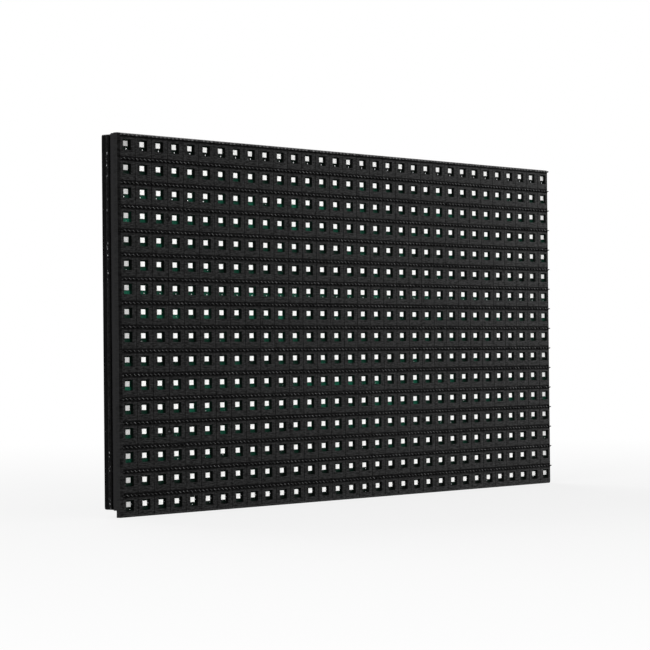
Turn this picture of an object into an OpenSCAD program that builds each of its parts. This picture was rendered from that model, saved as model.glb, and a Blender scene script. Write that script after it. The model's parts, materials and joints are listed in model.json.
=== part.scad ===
// LED display module: a louvred front mask over a board of surface-mounted
// lamps, held by a rear frame that bolts to a cabinet.
// The lit face looks along -Y, +X is to the right of someone facing it, +Z is up.
// Origin: centre of the rear insert pattern, on the plane that meets the cabinet.

/* [Pixels] */
// Distance from one lamp to the next
pixel_pitch = 10; // [9:0.5:12]
// Height of the lamp grid above the grid of mask windows
lamp_rise = 0.5; // [0:0.1:0.7]
// Offset of the lamp grid along the rows from the grid of mask windows
lamp_side = -0.4; // [-0.6:0.1:0.6]
// Lamp width along the row
lamp_w = 2.6; // [2:0.1:3.4]
// Lamp height on the face
lamp_h = 2.1; // [1.6:0.1:2.6]
// Lamp thickness off the board
lamp_t = 0.9; // [0.8:0.05:1.9]
// White rim round the lamp's filled cup
lamp_rim = 0.35; // [0.2:0.05:0.5]
// Depth of the cup's surface below the rim
cup_depth = 0.12; // [0.05:0.01:0.3]

/* [Mask] */
// Shortfall of the mask against the nominal tile, so that tiles can butt
tile_gap = 0.2; // [0:0.05:0.6]
// Thickness of the front plate
plate_t = 1.2; // [1.05:0.05:1.3]
// Thickness of the skirt round the board
skirt_t = 1; // [0.8:0.05:1.2]
// Chamfer round the front face
edge_chamfer = 0.95; // [0.3:0.05:1]
// Window width
window_w = 4.9; // [4.4:0.05:5.2]
// Window height
window_h = 4.4; // [4:0.05:4.8]
// Depth of the lamp faces behind the front face
lamp_recess = 0.5; // [0.4:0.05:0.8]
// Height of the louvre channel above each row
channel_h = 2.2; // [1.8:0.05:2.4]
// Depth of the louvre channel
channel_depth = 0.6; // [0.3:0.05:0.8]
// Rise of the channel's centre line above the window centres
channel_rise = 4.15; // [3.6:0.05:4.4]
// Thickness of the louvre bar in each channel
louvre_t = 1.1; // [0.7:0.05:1.3]
// Height of the louvre bar above the front face
louvre_proud = 0.65; // [0.3:0.05:1]
// Width of the fine groove between columns
groove_w = 0.3; // [0.2:0.05:0.5]
// Depth of the fine groove between columns
groove_depth = 0.25; // [0.1:0.05:0.3]

/* [Board] */
// Board thickness
board_t = 1.6; // [1.2:0.1:2]
// Room between the board's edge and the mask's skirt
board_gap = 0.2; // [0.1:0.05:0.4]

/* [Rear frame] */
// Depth from the board's rear face to the mounting plane
frame_depth = 8.85; // [8.6:0.05:14]
// Thickness of the flange that meets the mask
flange_t = 1.6; // [1.2:0.1:2]
// Step from the mask's side to the frame's side wall
side_inset = 2.2; // [1.8:0.1:2.8]
// Step from the mask's top to the frame's top
top_inset = 0.2; // [0:0.1:1]
// Step from the mask's bottom to the frame's bottom
bottom_inset = 2.9; // [2:0.1:3.2]
// Frame wall thickness
wall_t = 2; // [1.6:0.1:2.6]
// Extra depth of the groove behind the flange
side_groove = 0.6; // [0.3:0.05:0.8]
// Length of that groove from front to rear
side_groove_len = 3; // [2:0.1:4]
// Diameter of the bead along each side of the frame
bead_d = 1.4; // [1:0.1:1.8]
// Height of that bead above the side
bead_proud = 0.3; // [0.2:0.05:0.5]
// Distance of the bead from the mounting plane
bead_rear = 3; // [2:0.1:3.2]
// Corner radius of the frame
corner_r = 1; // [0.5:0.1:2]
// Thickness of the cross ribs
rib_t = 1.6; // [1.2:0.1:2.4]
// Drop of the ribs below the mounting plane
rib_drop = 1.5; // [0.5:0.1:3]

/* [Fixings] */
// Distance between the outer threaded inserts along the width
insert_span_x = 300; // [280:1:302]
// Distance between the threaded inserts along the height
insert_span_z = 140; // [120:1:141]
// Thread diameter of the inserts
insert_bore_d = 3; // [2.5:0.5:4]
// Outer diameter of the inserts
insert_d = 4.6; // [4.4:0.1:5.4]
// Length of the inserts
insert_len = 5; // [4:0.5:6]
// Diameter of the insert bosses
boss_d = 8.6; // [7.6:0.1:9]
// Diameter of the locating pegs
peg_d = 4; // [3:0.5:5]
// Diameter of the bosses that the pegs stand on
peg_boss_d = 7; // [6:0.5:8]
// Height of the locating pegs above the mounting plane
peg_h = 2.5; // [1:0.5:4]
// Thread diameter of the mask screws
screw_d = 1.7; // [1.4:0.1:2]
// Head diameter of the mask screws
screw_head_d = 2.7; // [2.4:0.1:3]
// Head thickness of the mask screws
screw_head_t = 0.55; // [0.4:0.05:0.6]
// Length of the mask screws under the head
screw_len = 7; // [6:0.5:8]
// Diameter of the frame's screw posts
screw_post_d = 5.4; // [4.4:0.1:6]
// Clearance between a fastener and its hole, on the radius
fit_gap = 0.05; // [0.03:0.01:0.1]

/* [Headers] */
// Length of a signal header
header_len = 28; // [26.5:0.5:32]
// Width of a signal header
header_w = 8.8; // [8.4:0.1:9.6]
// Height of a signal header above the board
header_h = 8.4; // [7:0.1:8.6]
// Wall thickness of a signal header
header_wall = 1.1; // [0.9:0.05:1.4]
// Floor thickness of a signal header
header_floor = 2; // [1.5:0.1:3]
// Width of the keying slot
key_w = 4.5; // [3:0.5:6]
// Length of the power header
power_len = 16.6; // [16:0.1:20]
// Width of the power header
power_w = 8.4; // [7:0.1:9]
// Height of the power header's base
power_base_h = 3.2; // [2.5:0.1:4]
// Height of the power header's latch wall
power_h = 8; // [7:0.1:8.4]

/* [Hidden] */
columns = 32;
rows = 16;
header_pin_pairs = 8;
power_pins = 4;
eps = 0.01;
$fn = 48;

// Front to rear stations, as depths behind the front face
board_front = lamp_recess + lamp_t;
mask_depth = board_front + board_t;
board_rear = mask_depth;
flange_rear = mask_depth + flange_t;
total_depth = mask_depth + frame_depth;

// Mask and board outlines: a nominal tile, or larger where the insert bosses need it
tile_w = columns * pixel_pitch;
tile_h = rows * pixel_pitch;
boss_reach_x = insert_span_x / 2 + boss_d / 2 + wall_t;
boss_reach_z = insert_span_z / 2 + boss_d / 2 + wall_t;
mask_w = max(tile_w - tile_gap, 2 * (boss_reach_x + side_inset));
mask_h = max(tile_h - tile_gap, 2 * (boss_reach_z + max(top_inset, bottom_inset)));
pocket_w = mask_w - 2 * skirt_t;
pocket_h = mask_h - 2 * skirt_t;
board_w = pocket_w - 2 * board_gap - 2 * abs(lamp_side);
board_h = pocket_h - 2 * board_gap - 2 * lamp_rise;

// Frame outline, stepped in from the mask
frame_w = mask_w - 2 * side_inset;
frame_top = mask_h / 2 - top_inset;
frame_bottom = -mask_h / 2 + bottom_inset;
frame_h = frame_top - frame_bottom;
frame_mid = (frame_top + frame_bottom) / 2;
frame_inner_w = frame_w - 2 * wall_t;
rib_top = total_depth - rib_drop;
rib_x = tile_w / 4;

// Mask screws stand between columns, level with a row of lamps
screw_columns = [5, 13];
screw_row = 4.5;
screw_z = screw_row * pixel_pitch;
screw_xs = [for (side = [-1, 1]) for (n = screw_columns) side * n * pixel_pitch];
screw_head_sink = 0.1;
screw_recess_w = 0.45;
screw_recess_len = 1.6;
screw_recess_depth = 0.35;
screw_tip_room = 0.6;

// Rear inserts
insert_xs = [-insert_span_x / 2, 0, insert_span_x / 2];
insert_zs = [-insert_span_z / 2, insert_span_z / 2];
insert_room = 0.8;

// Header contacts
pin_pitch = 2.54;
pin_w = 0.64;
pin_hole_d = 1.05;
pin_top_drop = 1.2;
power_pitch = 3.96;
power_pin_w = 1.14;
power_hole_d = 1.75;
power_wall_t = 1.4;
power_pin_h = 7.6;
header_x = (rib_x + frame_inner_w / 2) / 2;

// Chip packages: [body length, body width, body height, span over leads, leads on a side]
sop16 = [9.9, 3.9, 1.5, 6, 8];
sop20 = [12.8, 7.5, 2.3, 10.3, 10];
sop8 = [4.9, 3.9, 1.5, 6, 4];
chip_standoff = 0.1;
chip_draft = 0.15;
lead_pitch = 1.27;
lead_w = 0.4;
lead_t = 0.2;
lead_foot = 0.6;
lead_shoulder = 0.25;
dimple_d = 0.8;
dimple_depth = 0.1;
dimple_inset = 1.1;

// What the board's rear carries: places from the centre, then sizes
columns_per_register = 4;
register_pitch = columns_per_register * pixel_pitch;
register_count = columns / columns_per_register;
register_z = 6 * pixel_pitch;
resistor_z = 5.2 * pixel_pitch;
buffer_x = -5.2 * pixel_pitch;
buffer_z = 1.3 * pixel_pitch;
decoder_place = [-2.4 * pixel_pitch, 2.4 * pixel_pitch];
switch_xs = [3.8 * pixel_pitch, 5.4 * pixel_pitch];
switch_z = 1.2 * pixel_pitch;
bulk_x = 2 * pixel_pitch;
resistors_per_register = 8;
resistor_size = [0.8, 1.6, 0.45];
resistor_pitch = 1.5;
bypass_size = [2, 1.25, 0.85];
bypass_gap = 0.6;
bypass_step = (sop16[0] + bypass_size[0]) / 2 + bypass_gap;
bulk_d = 6.3;
bulk_h = 5.2;
bulk_base = [6.6, 6.6, 1];
bulk_chamfer = 1;

register_places = [
    for (side = [1, -1])
        for (i = [0 : register_count - 1])
            [(i - (register_count - 1) / 2) * register_pitch, side]
];

function column_x(c) = (c - (columns - 1) / 2) * pixel_pitch;
function row_z(r) = ((rows - 1) / 2 - r) * pixel_pitch;
function two_digits(n) = n < 10 ? str("0", n) : str(n);
function lamp_row_name(r) = str("lamp_row_", two_digits(r + 1));

// Stands a flat drawing of the face (x right, y up) at a depth behind the front face
module at_depth(d) {
    translate([0, d - total_depth, 0]) rotate([90, 0, 0]) children();
}

// Extrudes a flat drawing of the face from one depth to another
module slab(from, to) {
    at_depth(to) linear_extrude(to - from) children();
}

// Places children on the board's rear with their own z pointing to the rear
module on_board(x, z) {
    translate([x, board_rear - total_depth, z]) rotate([-90, 0, 0]) children();
}

module rounded_rect(w, h, r) {
    square([w - 2 * r, h], center = true);
    square([w, h - 2 * r], center = true);
    for (x = [-1, 1])
        for (y = [-1, 1])
            translate([x * (w / 2 - r), y * (h / 2 - r)]) circle(r);
}

// Section of a box with its two front corners cut off; x runs across, y is the depth
module chamfered_section(w, depth, cut) {
    polygon([
        [-w / 2 + cut, 0], [w / 2 - cut, 0], [w / 2, cut],
        [w / 2, depth], [-w / 2, depth], [-w / 2, cut]
    ]);
}

// Front mask

module mask_slab() {
    translate([0, -total_depth, 0]) intersection() {
        translate([0, 0, -mask_h / 2])
            linear_extrude(mask_h) chamfered_section(mask_w, mask_depth, edge_chamfer);
        translate([-mask_w / 2, 0, 0]) rotate([90, 0, 90])
            linear_extrude(mask_w) rotate(90) mirror([0, 1])
                chamfered_section(mask_h, mask_depth, edge_chamfer);
    }
}

module windows() {
    slab(-eps, plate_t + eps)
        for (c = [0 : columns - 1])
            for (r = [0 : rows - 1])
                translate([column_x(c), row_z(r)]) square([window_w, window_h], center = true);
}

module channels() {
    slab(-eps, channel_depth)
        for (r = [0 : rows - 1])
            translate([0, row_z(r) + channel_rise])
                square([mask_w - 2 * edge_chamfer, channel_h], center = true);
}

module column_grooves() {
    slab(-eps, groove_depth)
        for (c = [1 : columns - 1])
            translate([column_x(c) - pixel_pitch / 2, 0])
                square([groove_w, mask_h], center = true);
}

// One louvre bar runs along the middle of each channel
module louvres() {
    slab(-louvre_proud, (channel_depth + plate_t) / 2)
        for (r = [0 : rows - 1])
            translate([0, row_z(r) + channel_rise])
                square([mask_w - 2 * edge_chamfer, louvre_t], center = true);
}

// Ribs behind the channels, which hold the board off the plate
module back_ribs() {
    slab(plate_t - eps, board_front)
        for (r = [1 : rows - 1])
            translate([0, row_z(r) + channel_rise])
                square([pocket_w + skirt_t, channel_h], center = true);
}

module mask_posts() {
    slab(plate_t - eps, board_front)
        for (x = screw_xs)
            for (side = [-1, 1])
                translate([x, side * screw_z]) circle(d = pixel_pitch - window_w - 2 * fit_gap);
}

module at_mask_screws() {
    for (x = screw_xs)
        for (side = [-1, 1])
            translate([x, side * screw_z]) children();
}

module front_mask() {
    color("#232325") difference() {
        union() {
            difference() {
                mask_slab();
                slab(plate_t, mask_depth + eps) square([pocket_w, pocket_h], center = true);
                windows();
                channels();
                column_grooves();
            }
            back_ribs();
            mask_posts();
            louvres();
        }
        slab(-eps, screw_head_sink + screw_head_t)
            at_mask_screws() circle(screw_head_d / 2 + fit_gap);
        slab(0, board_front + eps)
            at_mask_screws() circle(screw_d / 2 + fit_gap);
    }
}

module mask_screws() {
    recess_bottom = screw_head_sink + screw_recess_depth;
    head_rear = screw_head_sink + screw_head_t;
    color("#1b1b1d") difference() {
        union() {
            slab(screw_head_sink, head_rear) at_mask_screws() circle(d = screw_head_d);
            slab(head_rear - eps, head_rear + screw_len) at_mask_screws() circle(d = screw_d);
        }
        slab(screw_head_sink - eps, recess_bottom) at_mask_screws() {
            square([screw_recess_len, screw_recess_w], center = true);
            square([screw_recess_w, screw_recess_len], center = true);
        }
    }
}

// Lamps

module lamp_row(r) {
    color("#f2f2ee") difference() {
        slab(lamp_recess, board_front)
            for (c = [0 : columns - 1])
                translate([column_x(c) + lamp_side, row_z(r) + lamp_rise])
                    square([lamp_w, lamp_h], center = true);
        slab(lamp_recess - eps, lamp_recess + cup_depth)
            for (c = [0 : columns - 1])
                translate([column_x(c) + lamp_side, row_z(r) + lamp_rise])
                    square([lamp_w - 2 * lamp_rim, lamp_h - 2 * lamp_rim], center = true);
    }
}

// Circuit board

module at_header_pins(x) {
    for (side = [-1, 1])
        for (i = [0 : header_pin_pairs - 1])
            translate([x + side * pin_pitch / 2, (i - (header_pin_pairs - 1) / 2) * pin_pitch]) children();
}

module at_power_pins() {
    for (i = [0 : power_pins - 1])
        translate([(i - (power_pins - 1) / 2) * power_pitch, 0]) children();
}

module circuit_board() {
    color("#0c5a3a") slab(board_front, board_rear) difference() {
        translate([lamp_side, lamp_rise]) square([board_w, board_h], center = true);
        at_mask_screws() circle(screw_d / 2 + board_gap);
        for (side = [-1, 1]) at_header_pins(side * header_x) circle(d = pin_hole_d);
        at_power_pins() circle(d = power_hole_d);
    }
}

// Rear frame

module frame_outline(w, shrink) {
    translate([0, frame_mid]) rounded_rect(w - 2 * shrink, frame_h - 2 * shrink, corner_r);
}

module frame_opening() {
    translate([0, frame_mid]) square([frame_inner_w, frame_h - 2 * wall_t], center = true);
}

module at_inserts() {
    for (x = insert_xs)
        for (z = insert_zs)
            translate([x, z]) children();
}

module at_pegs() {
    for (side = [-1, 1]) translate([side * rib_x, side * screw_z]) children();
}

// Webs that tie an insert boss to the nearest walls
module boss_webs() {
    for (z = insert_zs) {
        edge = z > 0 ? frame_top : frame_bottom;
        for (x = insert_xs)
            translate([x, (z + edge - sign(z) * wall_t / 2) / 2])
                square([rib_t, abs(edge - z) - wall_t / 2], center = true);
        for (side = [-1, 1])
            translate([side * (insert_span_x + frame_w - wall_t) / 4, z])
                square([(frame_w - wall_t - insert_span_x) / 2, rib_t], center = true);
    }
}

module cross_ribs() {
    for (side = [-1, 1]) {
        translate([0, side * screw_z]) square([frame_inner_w + wall_t, rib_t], center = true);
        translate([side * rib_x, frame_mid]) square([rib_t, frame_h - wall_t], center = true);
    }
}

// The walls from flange to mounting plane, kept inside the flat drawing given as a child
module frame_walls() {
    groove_rear = flange_rear + side_groove_len;
    slab(board_rear, flange_rear) intersection() {
        translate([0, frame_mid]) square([mask_w, frame_h], center = true);
        children();
    }
    slab(flange_rear - eps, groove_rear) intersection() {
        frame_outline(frame_w, side_groove);
        children();
    }
    slab(groove_rear - eps, total_depth) intersection() {
        frame_outline(frame_w, 0);
        children();
    }
}

module frame_sides() {
    side_w = (mask_w - frame_inner_w) / 2;
    side_x = (mask_w + frame_inner_w) / 4;
    bead_x = frame_w / 2 + bead_proud - bead_d / 2;
    color("#141416") {
        frame_walls()
            for (side = [-1, 1])
                translate([side * side_x, frame_mid]) square([side_w, frame_h], center = true);
        for (side = [-1, 1])
            translate([side * bead_x, -bead_rear, frame_bottom + corner_r])
                cylinder(d = bead_d, h = frame_h - 2 * corner_r);
    }
}

module frame_rails() {
    color("#141416") frame_walls() difference() {
        translate([0, frame_mid]) square([frame_inner_w, frame_h], center = true);
        frame_opening();
    }
}

// Bands of the opening that the crossbars take up
module crossbar_bands() {
    for (side = [-1, 1])
        translate([0, side * screw_z])
            square([frame_inner_w, max(peg_boss_d, screw_post_d)], center = true);
}

module frame_crossbars() {
    color("#141416") difference() {
        union() {
            slab(board_rear, rib_top) intersection() {
                cross_ribs();
                crossbar_bands();
            }
            slab(board_rear, rib_top) at_mask_screws() circle(d = screw_post_d);
            slab(board_rear, total_depth) at_pegs() circle(d = peg_boss_d);
            slab(board_rear, total_depth + peg_h) at_pegs() circle(d = peg_d);
        }
        slab(board_rear - eps, screw_head_sink + screw_head_t + screw_len + screw_tip_room)
            at_mask_screws() circle(screw_d / 2 + fit_gap);
    }
}

module frame_uprights() {
    color("#141416") slab(board_rear, rib_top) difference() {
        intersection() {
            cross_ribs();
            frame_opening();
        }
        crossbar_bands();
    }
}

module frame_bosses() {
    color("#141416") difference() {
        slab(board_rear, total_depth) intersection() {
            union() {
                boss_webs();
                at_inserts() circle(d = boss_d);
            }
            frame_opening();
        }
        slab(total_depth - insert_len - insert_room, total_depth + eps)
            at_inserts() circle(insert_d / 2);
    }
}

module threaded_inserts() {
    color("#c9a24a") slab(total_depth - insert_len, total_depth) at_inserts() difference() {
        circle(d = insert_d);
        circle(d = insert_bore_d);
    }
}

// Headers

// A shrouded header with its long side along the board's height; key is the slot's side
module signal_header(x, key) {
    inner_w = header_w - 2 * header_wall;
    color("#17171a") translate([0, board_rear - total_depth, 0]) difference() {
        translate([x - header_w / 2, 0, -header_len / 2]) cube([header_w, header_h, header_len]);
        translate([x - inner_w / 2, header_floor, -header_len / 2 + header_wall])
            cube([inner_w, header_h, header_len - 2 * header_wall]);
        translate([x + key * (header_w - header_wall) / 2 - header_wall, header_floor, -key_w / 2])
            cube([2 * header_wall, header_h, key_w]);
        translate([0, -eps, 0]) rotate([-90, 0, 0]) mirror([0, 1])
            linear_extrude(header_floor + 2 * eps)
                at_header_pins(x) square(pin_w, center = true);
    }
}

module header_pins(x) {
    color("#d8b450") slab(board_front, board_rear + header_h - pin_top_drop)
        at_header_pins(x) square(pin_w, center = true);
}

module power_header() {
    color("#e9e6da") difference() {
        union() {
            slab(board_rear, board_rear + power_base_h) square([power_len, power_w], center = true);
            slab(board_rear, board_rear + power_h)
                translate([0, (power_w - power_wall_t) / 2]) square([power_len, power_wall_t], center = true);
        }
        slab(board_rear - eps, board_rear + power_base_h + eps)
            at_power_pins() square(power_pin_w, center = true);
    }
}

module power_header_pins() {
    color("#cfd2d6") slab(board_front, board_rear + power_pin_h)
        at_power_pins() square(power_pin_w, center = true);
}

// Chips

// A moulded body with drafted sides and a straight belt where its leads leave
module chip_body(size) {
    half = size[1] / 2;
    top = chip_standoff + size[2];
    mid = chip_standoff + size[2] / 2;
    difference() {
        translate([-size[0] / 2, 0, 0]) rotate([90, 0, 90]) linear_extrude(size[0]) polygon([
            [-half + chip_draft, chip_standoff], [half - chip_draft, chip_standoff],
            [half, mid - lead_t], [half, mid + lead_t],
            [half - chip_draft, top], [-half + chip_draft, top],
            [-half, mid + lead_t], [-half, mid - lead_t]
        ]);
        translate([-size[0] / 2 + dimple_inset, -half + dimple_inset, top - dimple_depth])
            cylinder(d = dimple_d, h = 2 * dimple_depth);
    }
}

// Gull-wing leads along both sides of a body
module chip_leads(size) {
    half = size[1] / 2;
    foot_end = size[3] / 2;
    mid = chip_standoff + size[2] / 2;
    knee = foot_end - lead_foot;
    for (side = [0, 1])
        mirror([0, side, 0])
            for (i = [0 : size[4] - 1])
                translate([(i - (size[4] - 1) / 2) * lead_pitch - lead_w / 2, 0, 0])
                    rotate([90, 0, 90]) linear_extrude(lead_w) polygon([
                        [half, mid + lead_t / 2], [half + lead_shoulder + lead_t, mid + lead_t / 2],
                        [knee + lead_t, lead_t], [foot_end, lead_t],
                        [foot_end, 0], [knee, 0],
                        [half + lead_shoulder, mid - lead_t / 2], [half, mid - lead_t / 2]
                    ]);
}

module at_registers() {
    for (p = register_places) on_board(p[0], p[1] * register_z) children();
}

module at_buffers() {
    for (side = [-1, 1]) on_board(buffer_x, side * buffer_z) children();
}

module at_switches() {
    for (x = switch_xs)
        for (side = [-1, 1])
            on_board(x, side * switch_z) children();
}

module shift_registers() {
    color("#1d1d20") at_registers() chip_body(sop16);
}

module shift_register_leads() {
    color("#c4c7ca") at_registers() chip_leads(sop16);
}

module line_buffers() {
    color("#1d1d20") at_buffers() chip_body(sop20);
}

module line_buffer_leads() {
    color("#c4c7ca") at_buffers() chip_leads(sop20);
}

module row_decoder() {
    color("#1d1d20") on_board(decoder_place[0], decoder_place[1]) chip_body(sop16);
}

module row_decoder_leads() {
    color("#c4c7ca") on_board(decoder_place[0], decoder_place[1]) chip_leads(sop16);
}

module row_switches() {
    color("#1d1d20") at_switches() chip_body(sop8);
}

module row_switch_leads() {
    color("#c4c7ca") at_switches() chip_leads(sop8);
}

// Passive parts

module bulk_capacitors() {
    color("#c9ccd0")
        for (side = [-1, 1])
            on_board(side * bulk_x, 0) translate([0, 0, bulk_base[2]])
                cylinder(d = bulk_d, h = bulk_h - bulk_base[2]);
}

module bulk_capacitor_bases() {
    color("#1a1a1c")
        for (side = [-1, 1])
            on_board(side * bulk_x, 0) linear_extrude(bulk_base[2]) difference() {
                square([bulk_base[0], bulk_base[1]], center = true);
                for (y = [-1, 1])
                    translate([bulk_base[0] / 2, y * bulk_base[1] / 2])
                        rotate(45) square(bulk_chamfer * sqrt(2), center = true);
            }
}

// One beside each register, at the end towards the middle of the board
module bypass_capacitors() {
    color("#b79a6e")
        for (p = register_places)
            on_board(p[0] - sign(p[0]) * bypass_step, p[1] * register_z) linear_extrude(bypass_size[2])
                square([bypass_size[0], bypass_size[1]], center = true);
}

module column_resistors() {
    color("#202022")
        for (p = register_places)
            for (i = [0 : resistors_per_register - 1])
                on_board(p[0] + (i - (resistors_per_register - 1) / 2) * resistor_pitch, p[1] * resistor_z)
                    linear_extrude(resistor_size[2])
                        square([resistor_size[0], resistor_size[1]], center = true);
}

front_mask();
circuit_board();
frame_sides();
frame_rails();
frame_crossbars();
frame_uprights();
frame_bosses();
threaded_inserts();
mask_screws();
signal_header(-header_x, -1);  // input_header
header_pins(-header_x);  // input_header_pins
signal_header(header_x, -1);  // output_header
header_pins(header_x);  // output_header_pins
power_header();
power_header_pins();
shift_registers();
shift_register_leads();
line_buffers();
line_buffer_leads();
row_decoder();
row_decoder_leads();
row_switches();
row_switch_leads();
bulk_capacitors();
bulk_capacitor_bases();
bypass_capacitors();
column_resistors();
for (r = [0 : rows - 1])
    lamp_row(r);
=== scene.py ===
import json
import math
import random

import bpy
import numpy as np
from mathutils import Matrix, Vector


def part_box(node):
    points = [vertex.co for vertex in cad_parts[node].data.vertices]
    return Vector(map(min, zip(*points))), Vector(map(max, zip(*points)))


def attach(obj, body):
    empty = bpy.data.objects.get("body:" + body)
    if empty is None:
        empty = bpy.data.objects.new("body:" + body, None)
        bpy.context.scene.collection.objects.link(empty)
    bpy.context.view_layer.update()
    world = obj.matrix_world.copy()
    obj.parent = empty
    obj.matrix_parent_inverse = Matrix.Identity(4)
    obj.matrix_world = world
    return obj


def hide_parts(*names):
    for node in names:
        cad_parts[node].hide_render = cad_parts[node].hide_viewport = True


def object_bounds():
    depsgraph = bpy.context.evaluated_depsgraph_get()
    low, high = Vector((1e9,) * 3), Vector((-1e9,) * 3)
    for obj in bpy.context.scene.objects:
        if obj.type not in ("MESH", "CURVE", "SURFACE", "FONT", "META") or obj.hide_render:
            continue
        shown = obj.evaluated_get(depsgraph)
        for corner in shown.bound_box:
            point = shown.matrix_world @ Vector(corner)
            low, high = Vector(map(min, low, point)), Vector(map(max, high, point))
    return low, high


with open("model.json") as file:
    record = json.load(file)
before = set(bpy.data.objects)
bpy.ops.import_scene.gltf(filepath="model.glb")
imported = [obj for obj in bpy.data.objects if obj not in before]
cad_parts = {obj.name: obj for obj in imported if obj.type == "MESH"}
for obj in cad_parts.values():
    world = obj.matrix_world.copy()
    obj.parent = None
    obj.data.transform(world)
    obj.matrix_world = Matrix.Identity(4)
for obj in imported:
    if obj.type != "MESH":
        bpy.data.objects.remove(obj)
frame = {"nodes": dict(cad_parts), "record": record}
cad_low, cad_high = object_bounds()

# Sizes of the module, in metres
MM = 0.001
PITCH = 10 * MM
COLUMNS = 32
ROWS = 16
LAMP_RISE = 0.5 * MM
LAMP_SIDE = -0.4 * MM
WINDOW_W = 4.9 * MM
WINDOW_H = 4.4 * MM
EDGE_CHAMFER = 0.95 * MM
CHANNEL_DEPTH = 0.6 * MM
CHANNEL_RISE = 4.15 * MM
LOUVRE_PROUD = 0.65 * MM
LOUVRE_T = 1.1 * MM

mask_low, mask_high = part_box("front_mask")
board_low, board_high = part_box("circuit_board")
FACE_Y = mask_low.y + LOUVRE_PROUD
CHANNEL_Y = FACE_Y + CHANNEL_DEPTH
FACE_HALF_W = mask_high.x - EDGE_CHAMFER
FACE_HALF_H = mask_high.z - EDGE_CHAMFER

# Waves of the louvre bars: length, steps along one, those of them that fall, and a crest's place
WAVES_PER_PIXEL = 4
WAVE = PITCH / WAVES_PER_PIXEL
WAVE_STEPS = 10
WAVE_FALL_STEPS = 4
WAVE_CREST = 0.08 * MM
# Louvre bars: width at the channel's floor, width in front, height of the low stretches, swing
BAR = {"base": 0.56 * MM, "crest": 0.3 * MM, "low_proud": 0.3 * MM, "swing": 0.3 * MM}
TOP_BAR = {"base": 1.2 * MM, "crest": 0.6 * MM, "low_proud": 0.46 * MM, "swing": 0.0}
BAR_REACH = FACE_HALF_W + 0.5 * MM

# The photograph's camera, fitted to the grid of lamps: angles in degrees
CAMERA_AZIMUTH = 51.365
CAMERA_ELEVATION = 0.629
CAMERA_ROLL = -0.55
CAMERA_DISTANCE = 1163.5 * MM
CAMERA_LENS_MM = 141.41
CAMERA_CLIP_END = 100
SENSOR_MM = 36
AIM_X = -23.2 * MM + LAMP_SIDE
AIM_Z = -0.19 * MM + LAMP_RISE


def column_x(c):
    return (c - (COLUMNS - 1) / 2) * PITCH


def row_z(r):
    return ((ROWS - 1) / 2 - r) * PITCH


def lamp_place(c, r, place=(0, 0)):
    """A place, across and up, that is given from the centre of a lamp."""
    return column_x(c) + LAMP_SIDE + place[0], row_z(r) + LAMP_RISE + place[1]


# Camera

def add_camera():
    azimuth = math.radians(CAMERA_AZIMUTH)
    elevation = math.radians(CAMERA_ELEVATION)
    forward = Vector((
        math.sin(azimuth) * math.cos(elevation),
        math.cos(azimuth) * math.cos(elevation),
        math.sin(elevation),
    ))
    lamp_face_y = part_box("lamp_row_01")[0].y
    aim = Vector((AIM_X, lamp_face_y, AIM_Z))
    data = bpy.data.cameras.new("camera")
    data.sensor_width = SENSOR_MM
    data.lens = CAMERA_LENS_MM
    data.clip_end = CAMERA_CLIP_END
    camera = bpy.data.objects.new("camera", data)
    bpy.context.scene.collection.objects.link(camera)
    turn = forward.to_track_quat("-Z", "Y").to_matrix().to_4x4()
    roll = Matrix.Rotation(math.radians(CAMERA_ROLL), 4, "Z")
    camera.matrix_world = Matrix.Translation(aim - forward * CAMERA_DISTANCE) @ turn @ roll
    bpy.context.scene.camera = camera


add_camera()


# Materials

# Colour sockets of a Mix node
MIX_FIRST = 6
MIX_SECOND = 7
MIX_RESULT = 2


class Tree:
    """Short calls for building a node tree."""

    def __init__(self, tree):
        self.tree = tree

    def add(self, kind, inputs=None, **settings):
        node = self.tree.nodes.new(kind)
        for key, value in settings.items():
            setattr(node, key, value)
        for key, value in (inputs or {}).items():
            self.put(node.inputs[key], value)
        return node

    def put(self, socket, value):
        if isinstance(value, bpy.types.NodeSocket):
            self.tree.links.new(value, socket)
        else:
            socket.default_value = value

    def math(self, operation, a, b=0.0, c=0.0):
        return self.add("ShaderNodeMath", {0: a, 1: b, 2: c}, operation=operation).outputs[0]

    def remap(self, value, span, to=(0, 1)):
        """A value mapped from one span to another and held within that."""
        node = self.add("ShaderNodeMapRange", {
            "Value": value, "From Min": span[0], "From Max": span[1], "To Min": to[0], "To Max": to[1],
        })
        return node.outputs["Result"]


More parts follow.
